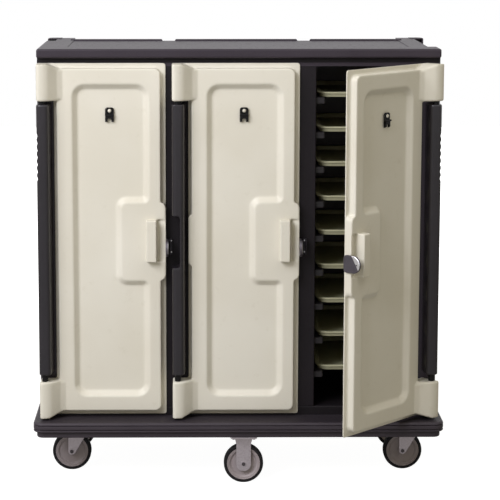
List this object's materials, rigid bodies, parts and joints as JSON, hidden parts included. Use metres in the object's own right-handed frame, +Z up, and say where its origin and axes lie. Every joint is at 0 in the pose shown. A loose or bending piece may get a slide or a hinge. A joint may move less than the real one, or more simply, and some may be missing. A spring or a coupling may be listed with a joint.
{
  "type": "enclosed meal tray cart",
  "caption": "Enclosed tray cart: moulded cabinet of three bays behind hinged doors with pull handles, slide-in trays on ledges, on swivel and rigid casters.",
  "frame": {"origin": "on the floor under the middle of the whole cart, with its right door partly open", "axes": "+X to the right along the doors, +Y from the doors to the back, +Z up"},
  "size_m": [1.572, 1.1, 1.677],
  "materials": {
    "shell_plastic": "rotomoulded dark granite violet, fine pebble",
    "rail_plastic": "moulded, satin",
    "door_plastic": "rotomoulded cream, satin",
    "clip_plastic": "satin black",
    "stainless": "brushed",
    "zinc_steel": "zinc plated, dull",
    "tray_plastic": "satin, pale olive",
    "hub_plastic": "grey moulded",
    "tyre_rubber": "black, satin"
  },
  "bodies": {
    "cabinet": {"base_tray": "shell_plastic", "left_side": "shell_plastic", "right_side": "shell_plastic", "left_partition": "shell_plastic", "right_partition": "shell_plastic", "back_wall": "shell_plastic", "top_deck": "shell_plastic", "tray_ledges": "rail_plastic", "hinge_post_left": "shell_plastic", "hinge_post_middle": "shell_plastic", "hinge_post_right": "shell_plastic", "hinge_pins": "stainless", "strikes": "stainless", "strike_screws": "stainless", "caster_plates": "zinc_steel", "caster_bolts": "zinc_steel", "rigid_forks": "zinc_steel", "rigid_axles": "zinc_steel"},
    "left_door": {"door_left": "door_plastic", "clip_plate_left": "clip_plastic"},
    "left_latch": {"latch_left": "stainless"},
    "left_clip": {"clip_flap_left": "clip_plastic"},
    "middle_door": {"door_middle": "door_plastic", "clip_plate_middle": "clip_plastic"},
    "middle_latch": {"latch_middle": "stainless"},
    "middle_clip": {"clip_flap_middle": "clip_plastic"},
    "right_door": {"door_right": "door_plastic", "clip_plate_right": "clip_plastic"},
    "right_latch": {"latch_right": "stainless"},
    "right_clip": {"clip_flap_right": "clip_plastic"},
    "front_left_swivel": {"fork_front_left": "zinc_steel", "axle_front_left": "zinc_steel"},
    "front_right_swivel": {"fork_front_right": "zinc_steel", "axle_front_right": "zinc_steel"},
    "rear_left_swivel": {"fork_rear_left": "zinc_steel", "axle_rear_left": "zinc_steel"},
    "rear_right_swivel": {"fork_rear_right": "zinc_steel", "axle_rear_right": "zinc_steel"},
    "front_left_wheel": {"hub_front_left": "hub_plastic", "tyre_front_left": "tyre_rubber"},
    "front_right_wheel": {"hub_front_right": "hub_plastic", "tyre_front_right": "tyre_rubber"},
    "rear_left_wheel": {"hub_rear_left": "hub_plastic", "tyre_rear_left": "tyre_rubber"},
    "rear_right_wheel": {"hub_rear_right": "hub_plastic", "tyre_rear_right": "tyre_rubber"},
    "front_centre_wheel": {"hub_front_centre": "hub_plastic", "tyre_front_centre": "tyre_rubber"},
    "rear_centre_wheel": {"hub_rear_centre": "hub_plastic", "tyre_rear_centre": "tyre_rubber"},
    "tray_1": {"tray_1": "tray_plastic"},
    "tray_2": {"tray_2": "tray_plastic"},
    "tray_3": {"tray_3": "tray_plastic"},
    "tray_4": {"tray_4": "tray_plastic"},
    "tray_5": {"tray_5": "tray_plastic"},
    "tray_6": {"tray_6": "tray_plastic"},
    "tray_7": {"tray_7": "tray_plastic"},
    "tray_8": {"tray_8": "tray_plastic"},
    "tray_9": {"tray_9": "tray_plastic"}
  },
  "joints": [
    {"name": "left_door_hinge", "type": "hinge", "parent": "cabinet", "child": "left_door", "pos_m": [-0.74, -0.19497, 0.936], "axis": [0, 0, -1], "range_deg": [0, 262]},
    {"name": "middle_door_hinge", "type": "hinge", "parent": "cabinet", "child": "middle_door", "pos_m": [-0.232, -0.19497, 0.936], "axis": [0, 0, -1], "range_deg": [0, 165]},
    {"name": "right_door_hinge", "type": "hinge", "parent": "cabinet", "child": "right_door", "pos_m": [0.74, -0.19497, 0.936], "axis": [0, 0, 1], "range_deg": [-46, 216]},
    {"name": "left_latch_pivot", "type": "hinge", "parent": "left_door", "child": "left_latch", "pos_m": [-0.277, -0.14497, 0.917], "axis": [-1, 0, 0], "range_deg": [0, 15], "stiffness_Nm_per_rad": 0.5, "springref_deg": -11.46},
    {"name": "middle_latch_pivot", "type": "hinge", "parent": "middle_door", "child": "middle_latch", "pos_m": [0.231, -0.14497, 0.917], "axis": [-1, 0, 0], "range_deg": [0, 15], "stiffness_Nm_per_rad": 0.5, "springref_deg": -11.46},
    {"name": "right_latch_pivot", "type": "hinge", "parent": "right_door", "child": "right_latch", "pos_m": [0.38241, -0.4933, 0.917], "axis": [-0.6947, -0.7193, 0], "range_deg": [0, 15], "stiffness_Nm_per_rad": 0.5, "springref_deg": -11.46},
    {"name": "left_clip_spring", "type": "hinge", "parent": "left_door", "child": "left_clip", "pos_m": [-0.488, -0.16477, 1.423], "axis": [-1, 0, 0], "range_deg": [0, 35], "stiffness_Nm_per_rad": 0.03, "springref_deg": -11.46},
    {"name": "middle_clip_spring", "type": "hinge", "parent": "middle_door", "child": "middle_clip", "pos_m": [0.02, -0.16477, 1.423], "axis": [-1, 0, 0], "range_deg": [0, 35], "stiffness_Nm_per_rad": 0.03, "springref_deg": -11.46},
    {"name": "right_clip_spring", "type": "hinge", "parent": "right_door", "child": "right_clip", "pos_m": [0.54322, -0.35527, 1.423], "axis": [-0.6947, -0.7193, 0], "range_deg": [0, 35], "stiffness_Nm_per_rad": 0.03, "springref_deg": -11.46},
    {"name": "front_left_swivel_turn", "type": "hinge", "parent": "cabinet", "child": "front_left_swivel", "pos_m": [-0.623, -0.00397, 0.18], "axis": [0, 0, 1], "continuous": true},
    {"name": "front_right_swivel_turn", "type": "hinge", "parent": "cabinet", "child": "front_right_swivel", "pos_m": [0.683, -0.00397, 0.18], "axis": [0, 0, 1], "continuous": true},
    {"name": "rear_left_swivel_turn", "type": "hinge", "parent": "cabinet", "child": "rear_left_swivel", "pos_m": [-0.623, 0.30403, 0.18], "axis": [0, 0, 1], "continuous": true},
    {"name": "rear_right_swivel_turn", "type": "hinge", "parent": "cabinet", "child": "rear_right_swivel", "pos_m": [0.683, 0.30403, 0.18], "axis": [0, 0, 1], "continuous": true},
    {"name": "front_left_wheel_roll", "type": "hinge", "parent": "front_left_swivel", "child": "front_left_wheel", "pos_m": [-0.653, -0.00397, 0.076], "axis": [0, 1, 0], "continuous": true},
    {"name": "front_right_wheel_roll", "type": "hinge", "parent": "front_right_swivel", "child": "front_right_wheel", "pos_m": [0.653, -0.00397, 0.076], "axis": [0, 1, 0], "continuous": true},
    {"name": "rear_left_wheel_roll", "type": "hinge", "parent": "rear_left_swivel", "child": "rear_left_wheel", "pos_m": [-0.653, 0.30403, 0.076], "axis": [0, 1, 0], "continuous": true},
    {"name": "rear_right_wheel_roll", "type": "hinge", "parent": "rear_right_swivel", "child": "rear_right_wheel", "pos_m": [0.653, 0.30403, 0.076], "axis": [0, 1, 0], "continuous": true},
    {"name": "front_centre_wheel_roll", "type": "hinge", "parent": "cabinet", "child": "front_centre_wheel", "pos_m": [0.02, -0.17897, 0.076], "axis": [0, 1, 0], "continuous": true},
    {"name": "rear_centre_wheel_roll", "type": "hinge", "parent": "cabinet", "child": "rear_centre_wheel", "pos_m": [0.02, 0.47903, 0.076], "axis": [0, 1, 0], "continuous": true},
    {"name": "tray_1_slide", "type": "slide", "parent": "cabinet", "child": "tray_1", "axis": [0, -1, 0], "range_m": [0, 0.085]},
    {"name": "tray_2_slide", "type": "slide", "parent": "cabinet", "child": "tray_2", "axis": [0, -1, 0], "range_m": [0, 0.085]},
    {"name": "tray_3_slide", "type": "slide", "parent": "cabinet", "child": "tray_3", "axis": [0, -1, 0], "range_m": [0, 0.085]},
    {"name": "tray_4_slide", "type": "slide", "parent": "cabinet", "child": "tray_4", "axis": [0, -1, 0], "range_m": [0, 0.085]},
    {"name": "tray_5_slide", "type": "slide", "parent": "cabinet", "child": "tray_5", "axis": [0, -1, 0], "range_m": [0, 0.085]},
    {"name": "tray_6_slide", "type": "slide", "parent": "cabinet", "child": "tray_6", "axis": [0, -1, 0], "range_m": [0, 0.085]},
    {"name": "tray_7_slide", "type": "slide", "parent": "cabinet", "child": "tray_7", "axis": [0, -1, 0], "range_m": [0, 0.085]},
    {"name": "tray_8_slide", "type": "slide", "parent": "cabinet", "child": "tray_8", "axis": [0, -1, 0], "range_m": [0, 0.085]},
    {"name": "tray_9_slide", "type": "slide", "parent": "cabinet", "child": "tray_9", "axis": [0, -1, 0], "range_m": [0, 0.085]}
  ]
}
